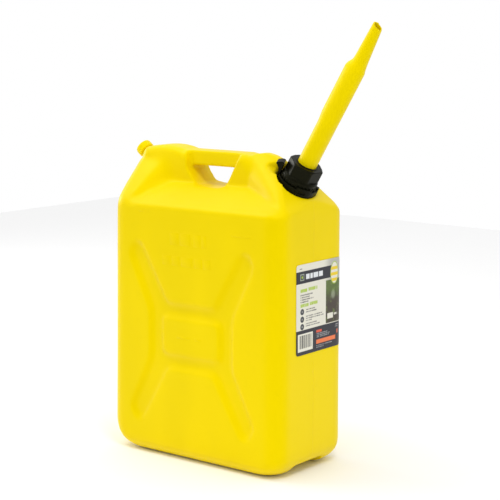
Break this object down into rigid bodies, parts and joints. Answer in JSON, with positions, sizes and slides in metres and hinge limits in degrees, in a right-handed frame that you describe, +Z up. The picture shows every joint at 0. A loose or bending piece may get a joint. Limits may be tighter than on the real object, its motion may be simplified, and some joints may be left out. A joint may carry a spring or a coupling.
{
  "type": "jerry can",
  "caption": "Flat-sided plastic fuel can with a moulded grip bar, stiffening grooves, a screw collar with a long pouring spout, a ratchet lock ring and a vent cap.",
  "frame": {"origin": "middle of the tank's flat base", "axes": "+Z up, +X along the wide face towards the spout, +Y through the depth"},
  "size_m": [0.467, 0.174, 0.6829],
  "materials": {
    "yellow_plastic": "satin moulded polyethylene",
    "spout_plastic": "satin moulded polyethylene",
    "black_plastic": "satin black moulded plastic",
    "seal_rubber": "matte rubber",
    "label_film": "printed film"
  },
  "bodies": {
    "can_body": {"tank": "yellow_plastic", "lock_ring": "black_plastic", "label": "label_film"},
    "lock_tab_body": {"lock_tab": "black_plastic"},
    "spout_body": {"spout": "spout_plastic", "spout_gasket": "seal_rubber", "vent_tube": "spout_plastic"},
    "collar_body": {"collar": "black_plastic"},
    "vent_cap_body": {"vent_cap": "yellow_plastic", "vent_cap_seal": "seal_rubber"}
  },
  "joints": [
    {"name": "lock_tab_flex", "type": "hinge", "parent": "can_body", "child": "lock_tab_body", "pos_m": [0.11456, -0.01556, 0.45148], "axis": [0.4221, -0.8704, -0.2536], "range_deg": [0, 9], "stiffness_Nm_per_rad": 0.05},
    {"name": "spout_lift", "type": "slide", "parent": "can_body", "child": "spout_body", "axis": [0.515, 0, 0.8572], "range_m": [0, 0.0501]},
    {"name": "collar_turn", "type": "hinge", "parent": "spout_body", "child": "collar_body", "pos_m": [0.1371, 0, 0.4356], "axis": [0.515, 0, 0.8572], "range_deg": [0, 3600]},
    {"name": "vent_cap_pull", "type": "slide", "parent": "can_body", "child": "vent_cap_body", "axis": [-0.788, 0, 0.6157], "range_m": [0, 0.03]}
  ],
  "couplings": [
    {"joint": "spout_lift", "follows": "collar_turn", "m_per_rad": 0.00079577}
  ]
}
